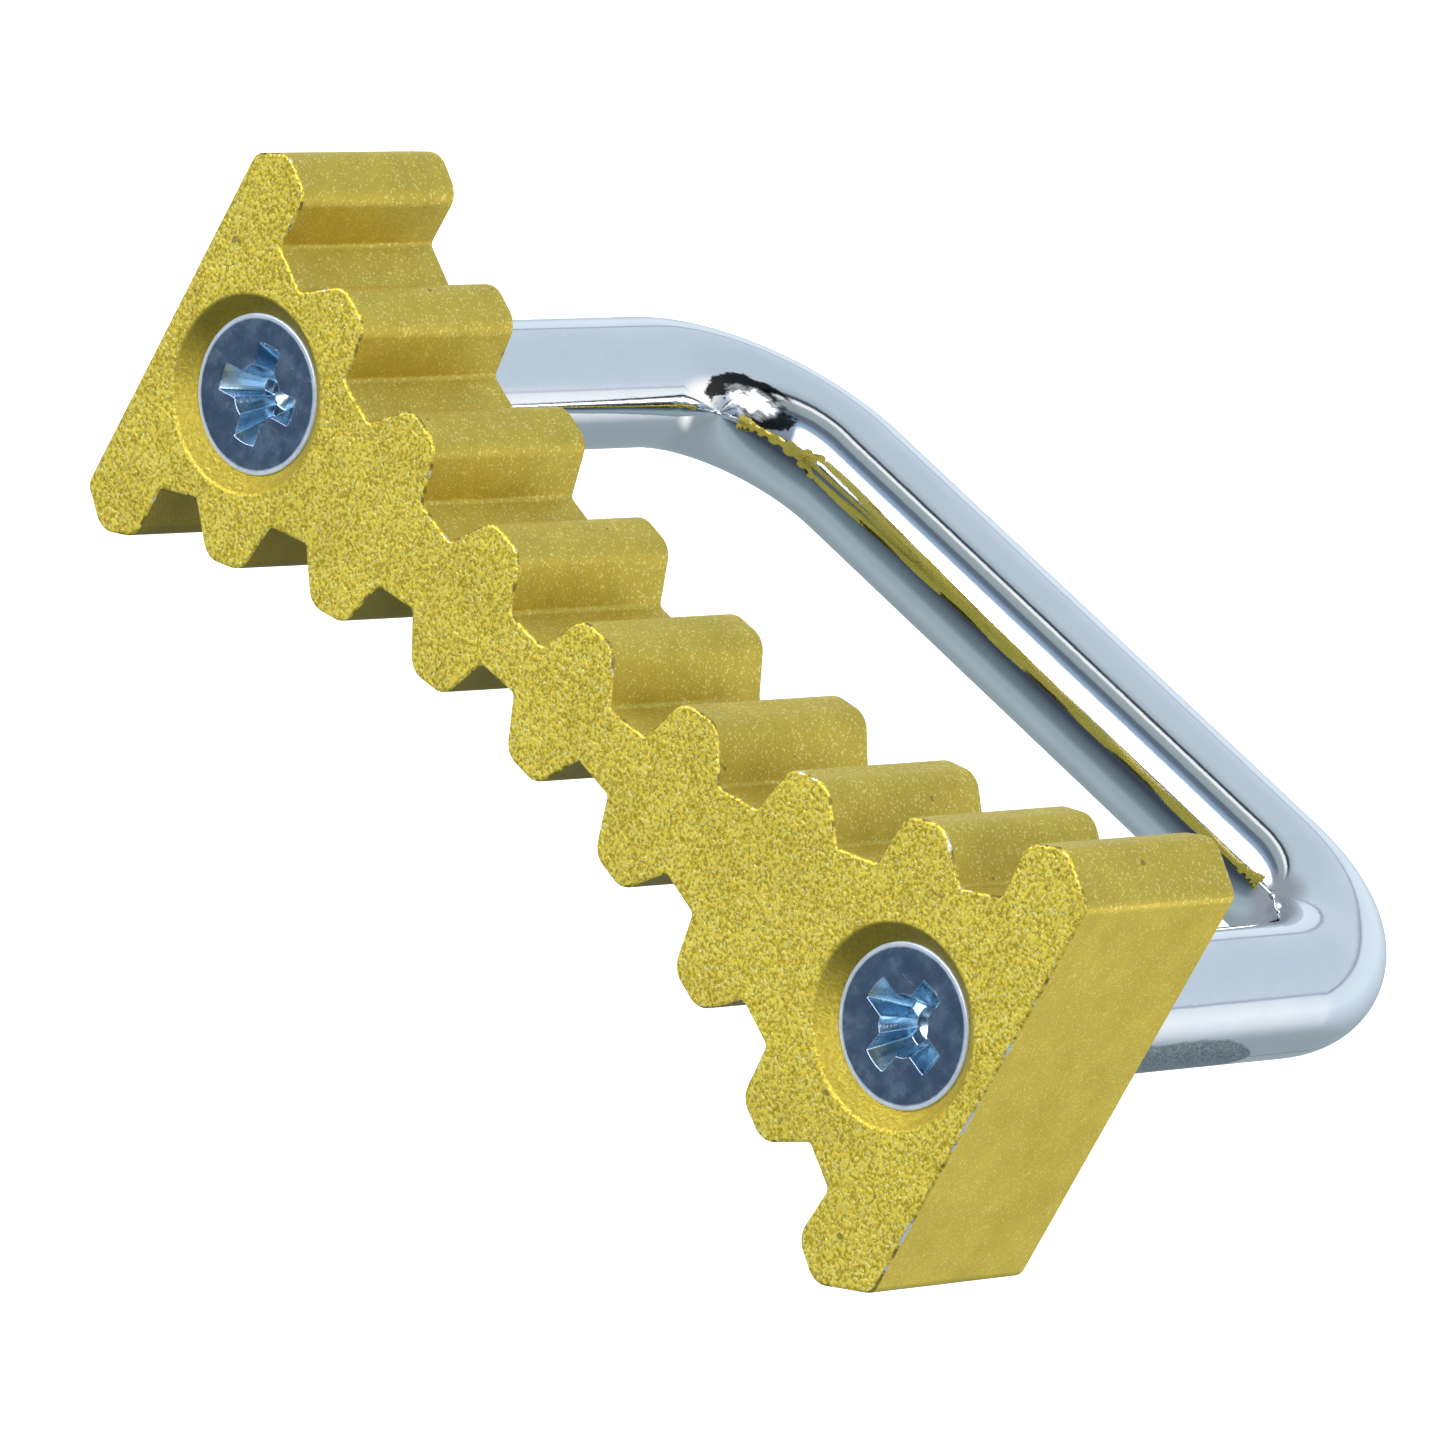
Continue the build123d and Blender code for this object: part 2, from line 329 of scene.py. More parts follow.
# ------------------------------------------------------------------ bar
def make_bar():
    """Round bar along straight legs, two quarter bends and the cross portion."""
    r = BAR_D / 2
    path = []   # (centre, tangent)
    end = HALF - BEND_R
    straight = -BEND_R - FOOT_Y

    def line(p, q, count):
        p, q = Vector(p), Vector(q)
        d = (q - p).normalized()
        for j in range(count):
            path.append((p + (q - p) * j / count, d))

    line((-HALF, FOOT_Y, 0), (-HALF, -BEND_R, 0), 24)
    for j in range(48):
        a = math.pi / 2 * j / 48
        path.append((Vector((-end - BEND_R * math.cos(a), -BEND_R + BEND_R * math.sin(a), 0)),
                     Vector((math.sin(a), math.cos(a), 0))))
    line((-end, 0, 0), (end, 0, 0), 40)
    for j in range(48):
        a = math.pi / 2 * j / 48
        path.append((Vector((end + BEND_R * math.sin(a), -BEND_R + BEND_R * math.cos(a), 0)),
                     Vector((math.cos(a), -math.sin(a), 0))))
    line((HALF, -BEND_R, 0), (HALF, FOOT_Y, 0), 24)
    path.append((Vector((HALF, FOOT_Y, 0)), Vector((0, -1, 0))))
    segs = 128
    verts, norms, faces = [], [], []

    def loop(c, t, radius, nr, nt):
        """A loop round the path; nr and nt are the normal's parts away from and along it."""
        base = len(verts)
        side = Vector((0, 0, 1)).cross(t)
        for i in range(segs):
            a = 2 * math.pi * i / segs
            out = side * math.cos(a) + Vector((0, 0, 1)) * math.sin(a)
            verts.append(tuple(c + out * radius))
            norms.append(tuple(out * nr + t * nt))
        return base

    def wall(a, b):
        for i in range(segs):
            k = (i + 1) % segs
            faces.append((a + i, a + k, b + k, b + i))

    rows = []
    c0, t0 = path[0]
    c1, t1 = path[-1]
    bore = TAP_DRILL_D / 2
    s = math.sqrt(0.5)
    # bore from its blind end, foot, bevel, then the long outside, and back in
    rows.append(loop(c0 + t0 * (TAP_DEPTH + 1.4), t0, 0.02, -0.5, -0.87))
    rows.append(loop(c0 + t0 * TAP_DEPTH, t0, bore, -0.7, -0.7))
    rows.append(loop(c0 + t0 * TAP_DEPTH, t0, bore, -1, 0))
    rows.append(loop(c0, t0, bore, -1, 0))
    rows.append(loop(c0, t0, bore, 0, -1))
    rows.append(loop(c0, t0, r - LEG_END_BEVEL, 0, -1))
    rows.append(loop(c0, t0, r - LEG_END_BEVEL, s, -s))
    rows.append(loop(c0 + t0 * LEG_END_BEVEL, t0, r, s, -s))
    rows.append(loop(c0 + t0 * LEG_END_BEVEL, t0, r, 1, 0))
    for c, t in path[1:-1]:
        rows.append(loop(c, t, r, 1, 0))
    rows.append(loop(c1 - t1 * LEG_END_BEVEL, t1, r, 1, 0))
    rows.append(loop(c1 - t1 * LEG_END_BEVEL, t1, r, s, s))
    rows.append(loop(c1, t1, r - LEG_END_BEVEL, s, s))
    rows.append(loop(c1, t1, r - LEG_END_BEVEL, 0, 1))
    rows.append(loop(c1, t1, bore, 0, 1))
    rows.append(loop(c1, t1, bore, -1, 0))
    rows.append(loop(c1 - t1 * TAP_DEPTH, t1, bore, -1, 0))
    rows.append(loop(c1 - t1 * TAP_DEPTH, t1, bore, -0.7, 0.7))
    rows.append(loop(c1 - t1 * (TAP_DEPTH + 1.4), t1, 0.02, -0.5, 0.87))
    for a, b in zip(rows, rows[1:]):
        wall(a, b)
    faces.append(tuple(rows[0] + i for i in reversed(range(segs))))
    faces.append(tuple(rows[-1] + i for i in range(segs)))
    return new_mesh("u_bar_chromed", verts, faces, norms)


# ------------------------------------------------------------------ screws
def make_screw(node, name):
    """The cold-formed screw: the CAD solid's own shape with every sharp edge slightly rounded."""
    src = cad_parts[node]
    mesh = src.data.copy()
    mesh.name = name
    mesh.materials.clear()
    obj = bpy.data.objects.new(name, mesh)
    scene.collection.objects.link(obj)
    lo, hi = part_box(node)
    bm = bmesh.new()
    bm.from_mesh(mesh)
    bmesh.ops.remove_doubles(bm, verts=bm.verts, dist=1e-6)
    # the forming below draws an edge in by about 0.07 mm, so the head's rim starts that much proud
    axis_x = HALF * MM * (1 if lo.x > 0 else -1)
    head_top = (FACE_Y + HEAD_SINK) * MM
    for v in bm.verts:
        dx, dz = v.co.x - axis_x, v.co.z
        rad = math.hypot(dx, dz)
        if v.co.y < head_top + 0.3 * MM and rad > 5.2 * MM:
            on_top = v.co.y < head_top + 0.03 * MM
            k = (5.63 if on_top else 5.72) * MM / rad
            v.co.x, v.co.z = axis_x + dx * k, dz * k
            if not on_top and v.co.y < head_top + 0.24 * MM:
                v.co.y = head_top + 0.09 * MM
    bm.to_mesh(mesh)
    bm.free()
    remesh = obj.modifiers.new("forming", "REMESH")
    remesh.mode = "VOXEL"
    remesh.voxel_size = 0.06 * MM
    remesh.adaptivity = 0.0
    smooth = obj.modifiers.new("soft", "SMOOTH")
    smooth.factor = 0.5
    smooth.iterations = 2
    dg = bpy.context.evaluated_depsgraph_get()
    done = bpy.data.meshes.new_from_object(obj.evaluated_get(dg))
    obj.modifiers.clear()
    obj.data = done
    done.name = name
    done.shade_smooth()
    bpy.data.meshes.remove(mesh)
    return obj


# ------------------------------------------------------------------ node help
class Nodes:
    def __init__(self, tree):
        self.tree = tree
        self.tree.nodes.clear()

    def add(self, kind, **settings):
        node = self.tree.nodes.new(kind)
        for key, value in settings.items():
            setattr(node, key, value)
        return node

    def link(self, a, b):
        self.tree.links.new(a, b)

    def put(self, socket, value):
        if isinstance(value, bpy.types.NodeSocket):
            self.link(value, socket)
        else:
            socket.default_value = value

    def math(self, op, a, b=0.0, c=0.0, clamp=False):
        n = self.add("ShaderNodeMath", operation=op, use_clamp=clamp)
        self.put(n.inputs[0], a)
        self.put(n.inputs[1], b)
        if len(n.inputs) > 2:
            self.put(n.inputs[2], c)
        return n.outputs[0]

    def span(self, value, lo, hi, to_lo=0.0, to_hi=1.0, smooth=True):
        n = self.add("ShaderNodeMapRange", interpolation_type="SMOOTHSTEP" if smooth else "LINEAR", clamp=True)
        self.put(n.inputs["Value"], value)
        self.put(n.inputs["From Min"], lo)
        self.put(n.inputs["From Max"], hi)
        self.put(n.inputs["To Min"], to_lo)
        self.put(n.inputs["To Max"], to_hi)
        return n.outputs["Result"]

    def mix(self, fac, a, b, blend="MIX"):
        n = self.add("ShaderNodeMix", data_type="RGBA", blend_type=blend)
        self.put(n.inputs[0], fac)
        self.put(n.inputs[6], a if isinstance(a, bpy.types.NodeSocket) else (*a, 1.0))
        self.put(n.inputs[7], b if isinstance(b, bpy.types.NodeSocket) else (*b, 1.0))
        return n.outputs[2]

    def noise(self, vec, scale, detail=2.0, rough=0.5, distortion=0.0):
        n = self.add("ShaderNodeTexNoise")
        self.link(vec, n.inputs["Vector"])
        n.inputs["Scale"].default_value = scale
        n.inputs["Detail"].default_value = detail
        n.inputs["Roughness"].default_value = rough
        n.inputs["Distortion"].default_value = distortion
        return n.outputs["Fac"]

    def voronoi(self, vec, scale, feature="F1", out="Distance", randomness=1.0):
        n = self.add("ShaderNodeTexVoronoi", feature=feature)
        self.link(vec, n.inputs["Vector"])
        n.inputs["Scale"].default_value = scale
        n.inputs["Randomness"].default_value = randomness
        return n.outputs[out]

    def xyz(self, vec):
        n = self.add("ShaderNodeSeparateXYZ")
        self.link(vec, n.inputs[0])
        return n.outputs

    def stretch(self, vec, sx, sy, sz, rot=(0, 0, 0)):
        n = self.add("ShaderNodeMapping")
        self.link(vec, n.inputs["Vector"])
        n.inputs["Scale"].default_value = (sx, sy, sz)
        n.inputs["Rotation"].default_value = rot
        return n.outputs[0]

    def bump(self, height, strength, distance, normal=None):
        n = self.add("ShaderNodeBump")
        self.put(n.inputs["Strength"], strength)
        n.inputs["Distance"].default_value = distance
        self.link(height, n.inputs["Height"])
        if normal is not None:
            self.link(normal, n.inputs["Normal"])
        return n.outputs[0]


def material(name):
    mat = bpy.data.materials.new(name)
    mat.use_nodes = True
    n = Nodes(mat.node_tree)
    out = n.add("ShaderNodeOutputMaterial")
    bsdf = n.add("ShaderNodeBsdfPrincipled")
    n.link(bsdf.outputs[0], out.inputs["Surface"])
    coord = n.add("ShaderNodeTexCoord").outputs["Object"]
    return mat, n, bsdf, coord


# ------------------------------------------------------------------ gold
def gold_material():
    mat, n, bsdf, co = material("gold_anodised_blasted")
    geo = n.add("ShaderNodeNewGeometry")
    nx, ny, nz = n.xyz(geo.outputs["Normal"])
    x, y, z = n.xyz(co)
    flat = n.math("ABSOLUTE", ny)
    face = n.span(flat, 0.30, 0.66)
    # distance from the nearer screw axis
    dx = n.math("SUBTRACT", n.math("ABSOLUTE", x), HALF * MM)
    rad = n.math("SQRT", n.math("ADD", n.math("MULTIPLY", dx, dx), n.math("MULTIPLY", z, z)))
    away = n.span(rad, 7.2 * MM, 7.9 * MM)
    dish = n.math("MULTIPLY", n.span(rad, 7.35 * MM, 6.9 * MM), n.span(ny, -0.5, -0.6))

    coarse = n.noise(co, 3300.0, 1.5, 0.55, 0.35)
    cells = n.voronoi(co, 4300.0, "SMOOTH_F1")
    fine = n.noise(co, 8800.0, 1.0, 0.5)
    broad = n.noise(co, 130.0, 3.0, 0.55)
    blotch = n.noise(co, 520.0, 2.0, 0.5)
    flake = n.voronoi(co, 7400.0, "F1", "Color")
    fr, fg, fb = n.xyz(flake)

    grain = n.math("ADD", n.math("MULTIPLY", coarse, 0.80), n.math("MULTIPLY", cells, 0.40))
    # the blast grain's light and dark specks are partly the metal's own tone and partly painted glints and painted
    # shade
    lit = n.span(grain, 0.40, 0.72)
    # the brightest specks are painted glints, mixed in pale below
    front_painted_glint = n.math("MULTIPLY", n.span(n.noise(co, 4900.0, 1.0, 0.5, 0.4), 0.50, 0.63), n.span(fr, 0.25, 0.75))
    front_col = n.mix(lit, (0.54, 0.385, 0.026), (1.0, 0.79, 0.10))
    front_col = n.mix(n.math("MULTIPLY", front_painted_glint, 0.85), front_col, (1.0, 0.97, 0.42))
    side_lit = n.span(fine, 0.30, 0.72)
    side_col = n.mix(side_lit, (0.56, 0.420, 0.060), (0.68, 0.53, 0.095))
    # a few bright specks on the sideways-facing flanks are painted glints, also made a little smoother further down
    side_painted_sparkle = n.math("MULTIPLY", n.span(fg, 0.86, 0.93), n.span(nz, -0.35, 0.35))
    side_col = n.mix(n.math("MULTIPLY", side_painted_sparkle, 0.45), side_col, (1.0, 0.90, 0.38))
    col = n.mix(face, side_col, front_col)
    col = n.mix(n.math("MULTIPLY", dish, 0.75), col, (0.52, 0.40, 0.05))
    shade = n.span(broad, 0.28, 0.74, 0.93, 1.06)
    shade = n.math("MULTIPLY", shade, n.span(blotch, 0.3, 0.7, 0.97, 1.03))
    # the teeth's lower sides are painted darker, in place of shade that the studio doesn't give
    low = n.math("MULTIPLY", n.span(z, -0.0005, -0.0030), n.span(flat, 0.55, 0.25))
    low = n.math("MULTIPLY", low, n.span(n.math("ABSOLUTE", x), 0.0446, 0.0440))
    shade = n.math("MULTIPLY", shade, n.span(low, 0.0, 1.0, 1.0, 0.42, smooth=False))
    # the wider end face is painted a little paler, for the same reason
    end_painted_light = n.math("MULTIPLY", n.span(nx, 0.85, 0.97), n.span(x, 0.0444, 0.0449))
    shade = n.math("MULTIPLY", shade, n.span(end_painted_light, 0.0, 1.0, 1.0, 1.30))
    # and the back face is painted a little darker, the upper side of each countersink more so, both as painted shade
    back_painted_shade = n.span(ny, 0.4, 0.8)
    shade = n.math("MULTIPLY", shade, n.span(back_painted_shade, 0.0, 1.0, 1.0, 0.85, smooth=False))
    upper = n.math("MULTIPLY", n.span(n.math("ADD", nz, n.math("MULTIPLY", nx, -0.45)), -0.05, -0.55),
                   n.span(rad, 7.35 * MM, 7.0 * MM))
    shade = n.math("MULTIPLY", shade, n.span(upper, 0.0, 1.0, 1.0, 0.45, smooth=False))
    tint = n.add("ShaderNodeVectorMath", operation="SCALE")
    n.link(col, tint.inputs[0])
    n.link(shade, tint.inputs["Scale"])
    col = tint.outputs[0]

    # wear on the thin rounded edge of both faces: bare metal in nicks, dark in a few
    edge = n.math("MULTIPLY", n.span(flat, 0.10, 0.35), n.span(flat, 0.985, 0.90))
    edge = n.math("MULTIPLY", edge, away)
    spots = n.noise(co, 330.0, 4.0, 0.65)
    silver = n.math("MULTIPLY", edge, n.span(spots, 0.60, 0.65))
    dark_spots = n.noise(n.stretch(co, 1.0, 1.0, 1.0, (0.4, 0.2, 0.9)), 700.0, 3.0, 0.65)
    dark = n.math("MULTIPLY", edge, n.span(dark_spots, 0.50, 0.60))
    col = n.mix(n.math("MULTIPLY", dark, 0.72), col, (0.09, 0.065, 0.03))
    col = n.mix(silver, col, (0.80, 0.81, 0.84))
    # a few dark pits anywhere
    pits = n.span(n.noise(n.stretch(co, 1.0, 1.0, 1.0, (1.1, 0.3, 0.5)), 900.0, 1.0, 0.4), 0.775, 0.80)
    col = n.mix(n.math("MULTIPLY", pits, 0.6), col, (0.13, 0.10, 0.05))
    n.link(col, bsdf.inputs["Base Color"])
    bsdf.inputs["Metallic"].default_value = 0.80
    bsdf.inputs["Specular Tint"].default_value = (1.0, 0.93, 0.70, 1.0)

    rough_v = n.math("ADD", n.span(fine, 0.3, 0.7, -0.05, 0.05), n.span(face, 0.0, 1.0, 0.46, 0.52))
    rough_v = n.math("SUBTRACT", rough_v, n.math("MULTIPLY", silver, 0.20))
    rough_v = n.math("SUBTRACT", rough_v, n.math("MULTIPLY", side_painted_sparkle, 0.12))
    n.link(rough_v, bsdf.inputs["Roughness"])

    b1 = n.bump(grain, n.span(face, 0.0, 1.0, 0.10, 0.72), 0.00011)
    b2 = n.bump(fine, n.span(face, 0.0, 1.0, 0.38, 0.40), 0.00005, b1)
    b3 = n.bump(blotch, 0.10, 0.00006, b2)
    n.link(b3, bsdf.inputs["Normal"])
    return mat


# ------------------------------------------------------------------ chrome
def chrome_material():
    mat, n, bsdf, co = material("bright_chrome")
    x, y, z = n.xyz(co)
    haze = n.noise(co, 300.0, 3.0, 0.6)
    orange = n.noise(co, 900.0, 2.0, 0.5)
    fine = n.noise(co, 4200.0, 2.0, 0.6)
    # rough patch where the polish missed the inside underneath of the right leg
    ax = n.math("SUBTRACT", x, HALF * MM)
    wobble = n.math("MULTIPLY", n.math("SUBTRACT", n.noise(co, 380.0, 2.0, 0.6), 0.5), 0.12)
    ang = n.math("ARCTAN2", z, ax)
    # angle limit narrows to a rounded nose towards the bend
    nose = n.math("SUBTRACT", -0.0185, y)        # how far the point lies before the nose
    open_ = n.math("SQRT", n.math("MAXIMUM", n.math("DIVIDE", nose, 0.0042), 0.0))
    open_ = n.math("MINIMUM", open_, 1.0)
    mid = -0.42
    half = n.math("MULTIPLY", open_, 0.47)
    off = n.math("ABSOLUTE", n.math("SUBTRACT", n.math("ADD", ang, wobble), mid))
    inside = n.math("SUBTRACT", half, off)
    patch = n.math("MULTIPLY", n.span(inside, 0.0, 0.03), n.span(ax, -0.006, -0.0055))
    patch = n.math("MULTIPLY", patch, n.span(x, 0.0, 0.001))
    line = n.math("MULTIPLY", n.span(inside, -0.03, 0.0), n.span(inside, 0.05, 0.02))
    line = n.math("MULTIPLY", line, n.span(x, 0.0, 0.001))

    col = n.mix(n.span(haze, 0.35, 0.7), (0.80, 0.825, 0.855), (0.77, 0.80, 0.84))
    speck = n.span(n.voronoi(co, 2600.0), 0.16, 0.05)
    patch_col = n.mix(n.span(fine, 0.35, 0.65), (0.20, 0.25, 0.27), (0.40, 0.46, 0.48))
    patch_col = n.mix(n.math("MULTIPLY", speck, 0.9), patch_col, (0.95, 0.97, 1.0))
    col = n.mix(patch, col, patch_col)
    col = n.mix(n.math("MULTIPLY", line, 0.45), col, (0.15, 0.18, 0.20))
    # tiny dark flaws in the plating
    flaw = n.span(n.voronoi(co, 150.0), 0.030, 0.018)
    col = n.mix(n.math("MULTIPLY", flaw, 0.7), col, (0.10, 0.11, 0.13))
    n.link(col, bsdf.inputs["Base Color"])
    bsdf.inputs["Metallic"].default_value = 1.0
    rough = n.span(haze, 0.35, 0.72, 0.035, 0.085)
    rough = n.math("ADD", rough, n.math("MULTIPLY", patch, 0.34))
    n.link(rough, bsdf.inputs["Roughness"])
    b1 = n.bump(orange, n.span(patch, 0.0, 1.0, 0.035, 0.10), 0.00012)
    b2 = n.bump(fine, n.span(patch, 0.0, 1.0, 0.02, 0.85), 0.00005, b1)
    n.link(b2, bsdf.inputs["Normal"])
    return mat


# ------------------------------------------------------------------ zinc
def zinc_material():
    mat, n, bsdf, co = material("bright_zinc")
    x, y, z = n.xyz(co)
    dx = n.math("SUBTRACT", n.math("ABSOLUTE", x), HALF * MM)
    rad = n.math("SQRT", n.math("ADD", n.math("MULTIPLY", dx, dx), n.math("MULTIPLY", z, z)))
    top = (FACE_Y + HEAD_SINK) * MM
    depth = n.math("SUBTRACT", y, top)
    recess = n.math("MULTIPLY", n.span(depth, 0.00010, 0.00040), n.span(rad, 0.0046, 0.0042))
    rim = n.span(rad, 0.00525, 0.00545)
    mott = n.noise(co, 700.0, 4.0, 0.6)
    fine = n.noise(co, 3400.0, 3.0, 0.6)
    s1 = n.noise(n.stretch(co, 300.0, 300.0, 9000.0, (0.0, 0.7, 0.0)), 1.0, 2.0, 0.6)
    s2 = n.noise(n.stretch(co, 9000.0, 300.0, 260.0, (0.0, -0.5, 0.0)), 1.0, 2.0, 0.6)
    scratch = n.math("MAXIMUM", n.span(s1, 0.66, 0.76), n.span(s2, 0.68, 0.78))
    col = n.mix(n.span(mott, 0.32, 0.7), (0.34, 0.45, 0.66), (0.50, 0.62, 0.82))
    col = n.mix(n.math("MULTIPLY", scratch, 0.35), col, (0.92, 0.95, 1.0))
    # the cross recess is painted paler and bluer, a painted highlight
    col = n.mix(n.math("MULTIPLY", recess, 0.60), col, (0.52, 0.72, 0.80))
    # a pale ring round the head's rim is a painted highlight
    col = n.mix(n.math("MULTIPLY", rim, 0.55), col, (0.86, 0.91, 0.96))
    point = n.add("ShaderNodeNewGeometry").outputs["Pointiness"]
    # the sharp crests round the recess are painted white, a painted highlight
    crest = n.math("MULTIPLY", n.span(point, 0.53, 0.60), n.span(depth, 0.0016, 0.0010))
    col = n.mix(n.math("MULTIPLY", crest, 0.9), col, (1.0, 1.0, 1.0))
    n.link(col, bsdf.inputs["Base Color"])
    # the head's rim and the recess's crests, painted pale above, are also less metallic and rougher, so they scatter
    # the light instead of mirroring it
    rim_and_crest = n.math("MAXIMUM", rim, crest)
    n.link(n.span(rim_and_crest, 0.0, 1.0, 1.0, 0.62, smooth=False), bsdf.inputs["Metallic"])
    rough = n.span(mott, 0.3, 0.7, 0.17, 0.30)
    rough = n.math("ADD", rough, n.math("MULTIPLY", rim_and_crest, 0.15))
    rough = n.math("ADD", rough, n.math("MULTIPLY", scratch, 0.12))
    n.link(rough, bsdf.inputs["Roughness"])
    b1 = n.bump(mott, 0.10, 0.00008)
    b2 = n.bump(fine, 0.10, 0.00003, b1)
    b3 = n.bump(scratch, 0.15, 0.00002, b2)
    n.link(b3, bsdf.inputs["Normal"])
    return mat


# ------------------------------------------------------------------ build
gold, chrome, zinc = gold_material(), chrome_material(), zinc_material()
plate = make_plate()
bar = make_bar()
left = make_screw("screw_left", "screw_left_formed")
right = make_screw("screw_right", "screw_right_formed")
for piece, node, mat, slot in ((plate, "toothed_plate", gold, "gold_anodised"),
                               (bar, "u_bar", chrome, "chrome"),
                               (left, "screw_left", zinc, "zinc"),
                               (right, "screw_right", zinc, "zinc")):
    piece.data.materials.clear()
    piece.data.materials.append(mat)
    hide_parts(node)
    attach(piece, "root")

# ------------------------------------------------------------------ floor
FLOOR_Z = -0.085
size = 3.0
floor_mesh = bpy.data.meshes.new("floor")
floor_mesh.from_pydata([(-size, -size, FLOOR_Z), (size, -size, FLOOR_Z), (size, size, FLOOR_Z), (-size, size, FLOOR_Z)],
                       [], [(0, 1, 2, 3)])
floor = bpy.data.objects.new("floor", floor_mesh)
scene.collection.objects.link(floor)
fmat, fn, fb, fco = material("floor_paper")
fb.inputs["Base Color"].default_value = (0.90, 0.90, 0.90, 1.0)
fb.inputs["Roughness"].default_value = 0.9
fb.inputs["Specular IOR Level"].default_value = 0.1
fb.inputs["Emission Color"].default_value = (1.0, 1.0, 1.0, 1.0)
fb.inputs["Emission Strength"].default_value = 0.42
floor_mesh.materials.append(fmat)
floor.visible_diffuse = False
floor.visible_glossy = False
floor.visible_shadow = False


# ------------------------------------------------------------------ studio
def to_linear(rgb):
    out = []
    for c in rgb:
        c /= 255.0
        out.append(c / 12.92 if c <= 0.04045 else ((c + 0.055) / 1.055) ** 2.4)
    return out


world = bpy.data.worlds.new("studio")
scene.world = world
world.use_nodes = True
wn = Nodes(world.node_tree)
wout = wn.add("ShaderNodeOutputWorld")
wbg = wn.add("ShaderNodeBackground")
wn.link(wbg.outputs[0], wout.inputs[0])
wdir = wn.add("ShaderNodeTexCoord").outputs["Generated"]
wx, wy, wz = wn.xyz(wdir)
# angle round the X axis: 0 looks to the front, a quarter turn is up, half a turn is the back
angle = wn.math("ARCTAN2", wz, wn.math("MULTIPLY", wy, -1.0))
pos = wn.math("ADD", wn.math("DIVIDE", angle, 2 * math.pi), 0.5)
panels = [
    (-180, (215, 231, 245)), (-166, (190, 206, 220)), (-152, (150, 165, 174)), (-125, (140, 154, 162)),
    (-105, (145, 160, 168)), (-80, (162, 179, 189)), (-55, (150, 169, 180)), (-44, (112, 130, 141)),
    (-30, (90, 105, 115)), (-18, (58, 67, 80)), (6, (62, 70, 84)), (9.5, (130, 138, 150)),
    (44, (150, 175, 200)), (50, (100, 115, 135)), (57, (92, 106, 118)), (60, (150, 165, 171)),
    (71.5, (160, 173, 179)), (73.5, (250, 255, 255)), (77, (250, 255, 255)), (78.5, (60, 70, 88)),
    (82.5, (60, 70, 88)), (84.5, (165, 180, 190)), (95, (186, 202, 214)), (128, (188, 204, 219)),
    (150, (197, 212, 227)), (157, (199, 214, 229)), (158.5, (120, 132, 158)), (160.5, (214, 229, 243)),
    (172, (218, 234, 246)),
]
ramp = wn.add("ShaderNodeValToRGB")
wn.link(pos, ramp.inputs[0])
cr = ramp.color_ramp
cr.interpolation = "LINEAR"
while len(cr.elements) > 1:
    cr.elements.remove(cr.elements[-1])
CHROME_REF = (0.85, 0.875, 0.905)
for i, (deg, rgb) in enumerate(panels):
    e = cr.elements[0] if i == 0 else cr.elements.new(deg / 360 + 0.5)
    e.position = deg / 360 + 0.5
    lin = to_linear(rgb)
    e.color = (*[c / k for c, k in zip(lin, CHROME_REF)], 1.0)
deg = wn.math("MULTIPLY", angle, 180 / math.pi)
base = ramp.outputs[0]
# a pale wall at the back on the right, and a dim one at the far left
right_side = wn.math("MULTIPLY", wn.span(wx, 0.50, 0.80), wn.span(wy, 0.02, 0.30))
right_side = wn.math("MULTIPLY", right_side, wn.math("MAXIMUM", wn.span(wz, -0.20, 0.05), wn.span(wy, 0.42, 0.60)))
base = wn.mix(right_side, base, (1.30, 1.26, 1.20))
left_side = wn.span(wx, -0.80, -0.97)
base = wn.mix(left_side, base, (0.35, 0.38, 0.42))
# a round lamp on the right, set in a dark surround with a hard edge
def towards(x, y, z):
    """Cosine of the angle between the view and a fixed direction."""
    d = Vector((x, y, z)).normalized()
    return wn.math("ADD", wn.math("ADD", wn.math("MULTIPLY", wx, d.x), wn.math("MULTIPLY", wy, d.y)),
                   wn.math("MULTIPLY", wz, d.z))


def disc_at(cosine, outer, inner):
    """1 within the inner angle, falling to 0 at the outer one, both in degrees."""
    return wn.span(cosine, math.cos(math.radians(outer)), math.cos(math.radians(inner)))


ripple = wn.math("MULTIPLY", wn.math("SUBTRACT", wn.noise(wdir, 6.5, 4.0, 0.65), 0.5), 0.24)
dot = wn.math("ADD", towards(0.73, -0.31, 0.61), ripple)
surround = disc_at(dot, 43, 40.5)
# two gaps in the dark surround
gap = wn.math("MAXIMUM", disc_at(wn.math("ADD", towards(0.95, -0.08, 0.29), ripple), 19, 14),
              disc_at(wn.math("ADD", towards(0.20, -0.46, 0.86), ripple), 16, 10))
surround = wn.math("MULTIPLY", surround, wn.span(gap, 0.0, 1.0, 1.0, 0.12))
base = wn.mix(wn.math("MULTIPLY", surround, 0.965), base, (0.0, 0.0, 0.0))
spot = wn.math("MAXIMUM", wn.span(dot, math.cos(math.radians(19)), math.cos(math.radians(9))),
               wn.math("MULTIPLY", wn.span(dot, math.cos(math.radians(27)), math.cos(math.radians(21))), 0.09))
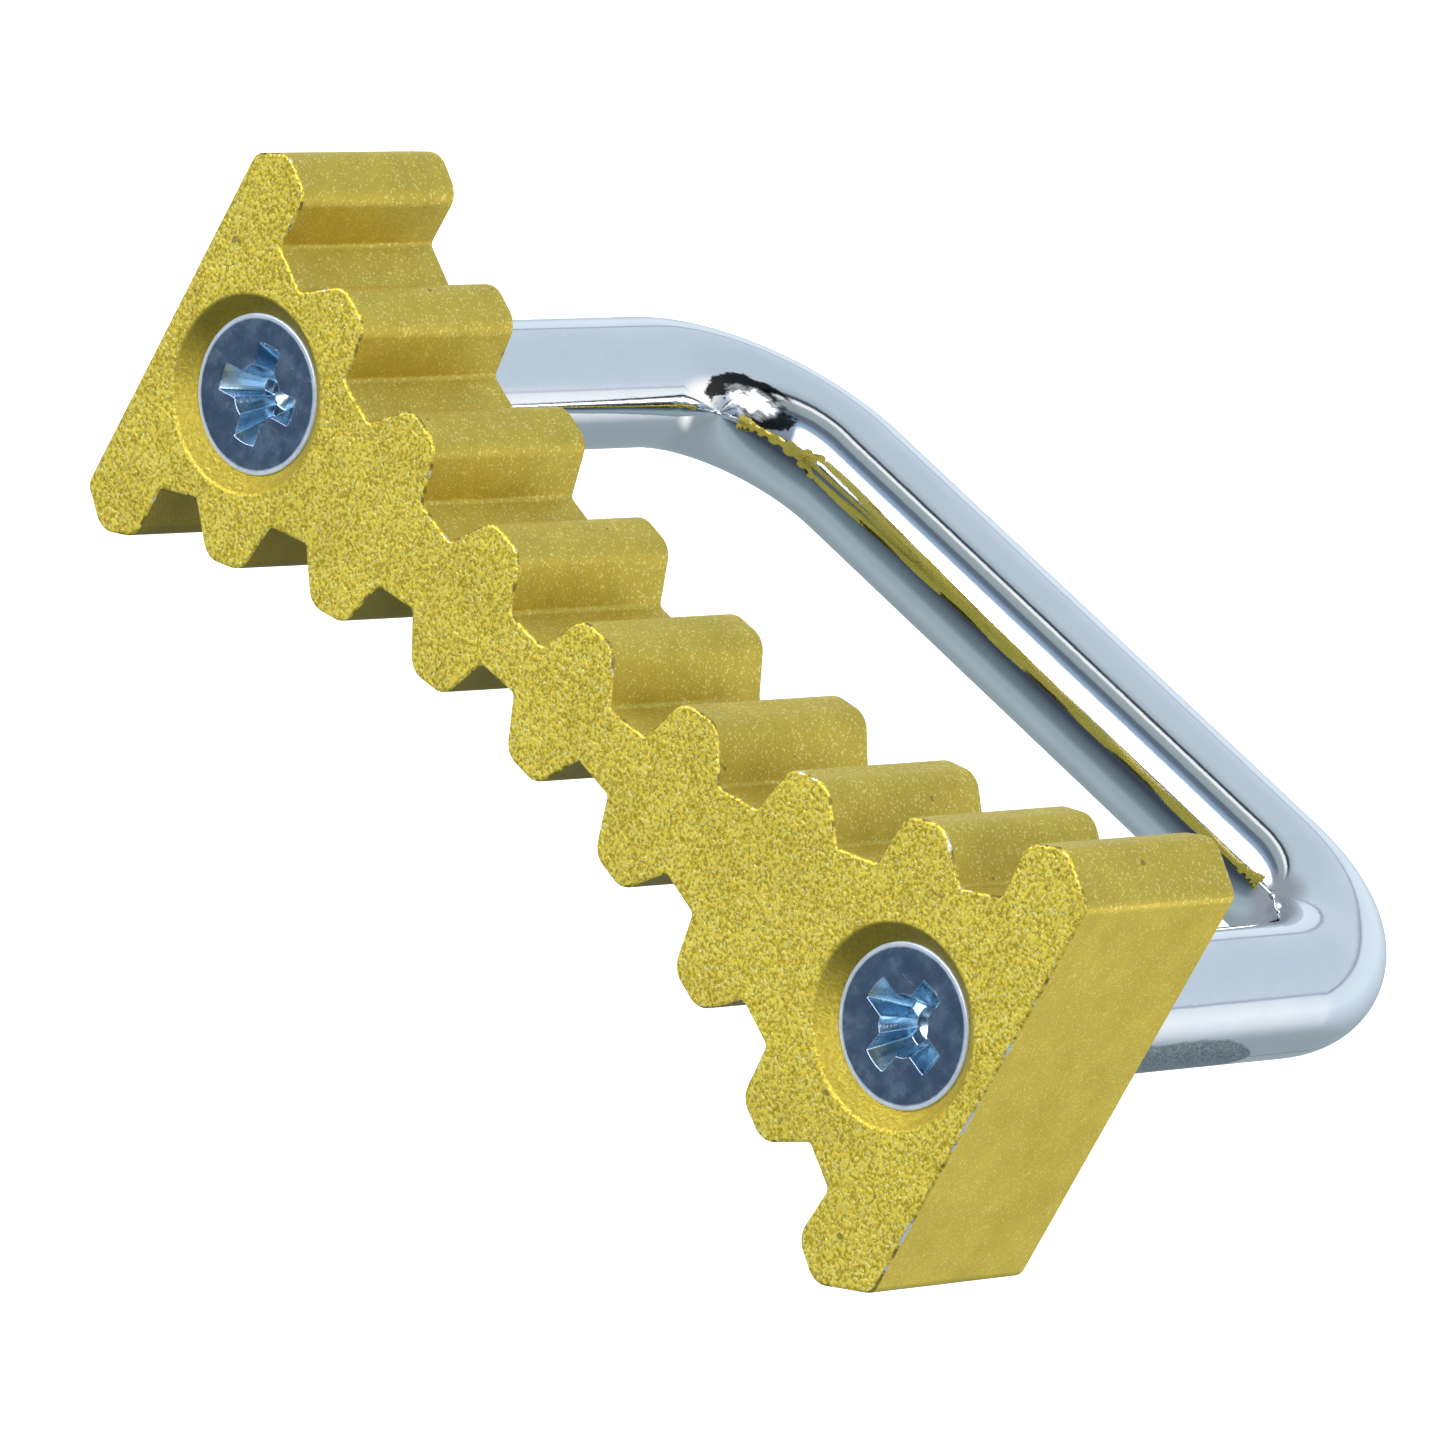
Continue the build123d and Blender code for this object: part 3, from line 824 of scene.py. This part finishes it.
# the long soft box over the front
box = wn.math("MULTIPLY", wn.span(deg, 8.5, 12.5), wn.span(deg, 42.0, 28.0))
box = wn.math("MULTIPLY", box, wn.span(wx, -0.99, -0.85))
box = wn.math("MULTIPLY", box, wn.span(wx, 0.22, -0.02))
SOFT_BOX = 5.2
glow = wn.mix(wn.math("MAXIMUM", box, wn.math("MULTIPLY", spot, 0.8)), (0, 0, 0),
              (SOFT_BOX * 0.98, SOFT_BOX, SOFT_BOX * 1.02))
sky = wn.mix(1.0, base, glow, "ADD")
wn.link(sky, wbg.inputs["Color"])
wbg.inputs["Strength"].default_value = 1.0


def soft_light(name, loc, aim, size, watts, colour=(1, 1, 1)):
    data = bpy.data.lights.new(name, "AREA")
    data.shape = "RECTANGLE"
    data.size, data.size_y = size
    data.energy = watts
    data.color = colour
    obj = bpy.data.objects.new(name, data)
    obj.location = loc
    obj.rotation_mode = "QUATERNION"
    obj.rotation_quaternion = (Vector(aim) - Vector(loc)).to_track_quat("-Z", "Y")
    scene.collection.objects.link(obj)
    obj.visible_glossy = False
    return obj


soft_light("side_fill", (1.3, -0.5, 0.5), (0, -0.03, 0), (0.9, 0.9), 9.0, (1.0, 0.99, 0.97))
soft_light("front_fill", (-0.3, -1.2, 0.25), (0, -0.03, 0), (0.9, 0.9), 11.0, (1.0, 0.98, 0.94))
soft_light("top_fill", (0.1, -0.2, 1.5), (0, -0.03, 0), (1.2, 1.2), 6.0)

# ------------------------------------------------------------------ camera
cam_data = bpy.data.cameras.new("camera")
cam = bpy.data.objects.new("camera", cam_data)
scene.collection.objects.link(cam)
cam_data.sensor_width = 36.0
cam_data.lens = 12210.0 / 1445.0 * 36.0
cam_data.clip_start, cam_data.clip_end = 0.05, 20.0
cam_data.shift_x, cam_data.shift_y = 0.0007, -0.0004
right_v = Vector((0.61969, 0.65571, 0.43130)).normalized()
back_v = Vector((0.50534, -0.75382, 0.41998)).normalized()
up_v = back_v.cross(right_v).normalized()
right_v = up_v.cross(back_v).normalized()
m = Matrix((right_v, up_v, back_v)).transposed().to_4x4()
m.translation = Vector((0.43019, -0.67708, 0.35502))
cam.matrix_world = m
scene.camera = cam

scene.view_settings.view_transform = "Standard"
scene.view_settings.look = "None"
scene.view_settings.exposure = 0.0
scene.view_settings.gamma = 1.0

bpy.context.view_layer.update()
